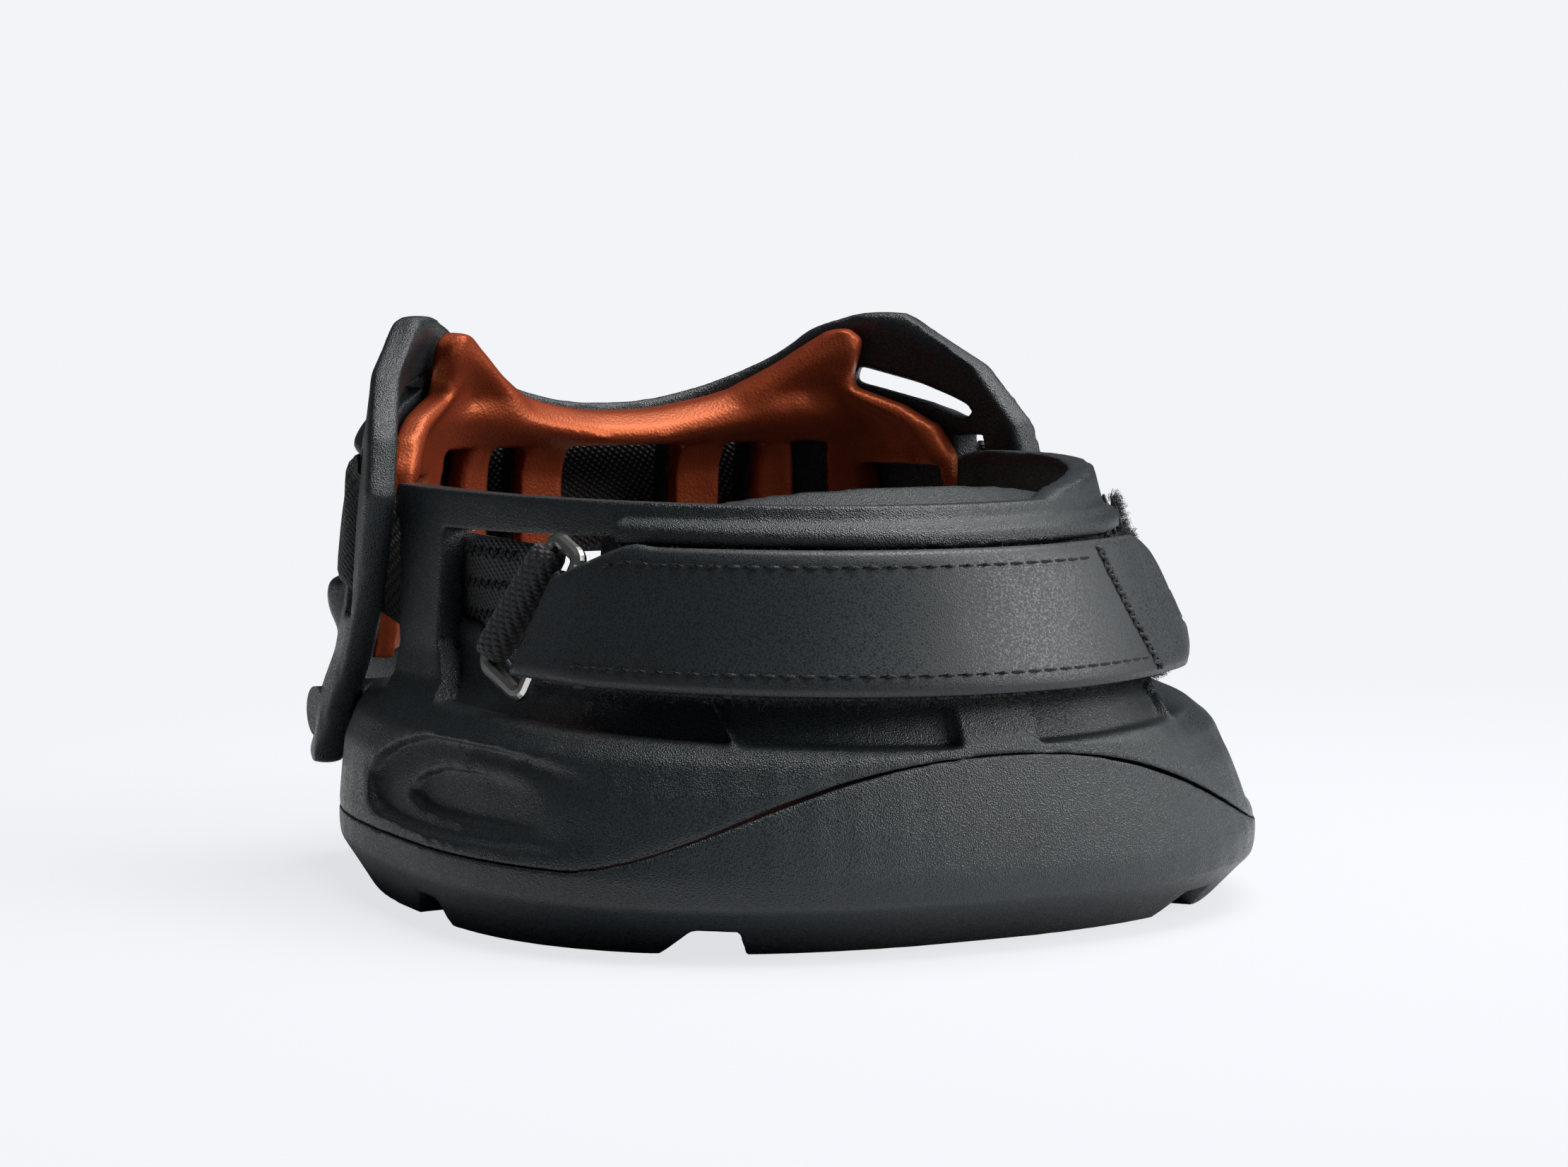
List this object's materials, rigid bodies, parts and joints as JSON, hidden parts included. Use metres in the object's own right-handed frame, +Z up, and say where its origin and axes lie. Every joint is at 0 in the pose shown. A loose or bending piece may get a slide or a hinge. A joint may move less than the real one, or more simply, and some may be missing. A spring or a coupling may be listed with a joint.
{
  "type": "horse hoof boot",
  "caption": "Hoof boot with a moulded upper on a tread sole, a tilting heel cap with a soft lining, and webbing, ring and hook strap that close it.",
  "frame": {"origin": "on the ground, at the middle of the middle tread pad, in the boot's plane of symmetry", "axes": "+Z up, toe towards -Y, heel towards +Y, the ring on the -X side"},
  "size_m": [0.163, 0.1763, 0.1075],
  "materials": {
    "tread_polymer": "fine matt grain",
    "black_polymer": "fine matt grain with a faint sparkle",
    "copper_foam": "pearlescent copper",
    "satin_nickel": "satin nickel",
    "black_webbing": "twill webbing",
    "hook_and_loop_pile": "fuzzy pile",
    "coated_fabric": "smooth coated fabric with stitched edges"
  },
  "bodies": {
    "boot": {"outsole": "tread_polymer", "upper_shell": "black_polymer", "pivot_pin_left": "satin_nickel", "pivot_pin_right": "satin_nickel", "webbing_left_run": "black_webbing", "webbing_right_run": "black_webbing", "strap_band": "black_webbing", "band_loop_face": "hook_and_loop_pile"},
    "heel_cap": {"heel_cap_shell": "black_polymer", "heel_lining": "copper_foam", "lining_stud_left": "satin_nickel", "lining_stud_right": "satin_nickel", "webbing_heel_run": "black_webbing"},
    "ring": {"ring": "satin_nickel"},
    "flap": {"strap_flap": "coated_fabric", "flap_hook_pad": "hook_and_loop_pile"}
  },
  "joints": [
    {"name": "heel_cap_tilt", "type": "hinge", "parent": "boot", "child": "heel_cap", "pos_m": [0, 0.062, 0.03], "axis": [-1, 0, 0], "range_deg": [0, 35], "deforming": ["webbing_left_run", "webbing_right_run"]},
    {"name": "ring_swing", "type": "hinge", "parent": "boot", "child": "ring", "pos_m": [-0.0624, -0.01729, 0.05806], "axis": [-0.3289, 0.4317, -0.8399], "range_deg": [0, 40], "deforming": ["webbing_left_run"]},
    {"name": "flap_peel", "type": "hinge", "parent": "ring", "child": "flap", "pos_m": [-0.06045, -0.02617, 0.05364], "axis": [-0.2996, 0.2984, -0.9062], "range_deg": [0, 110]}
  ]
}
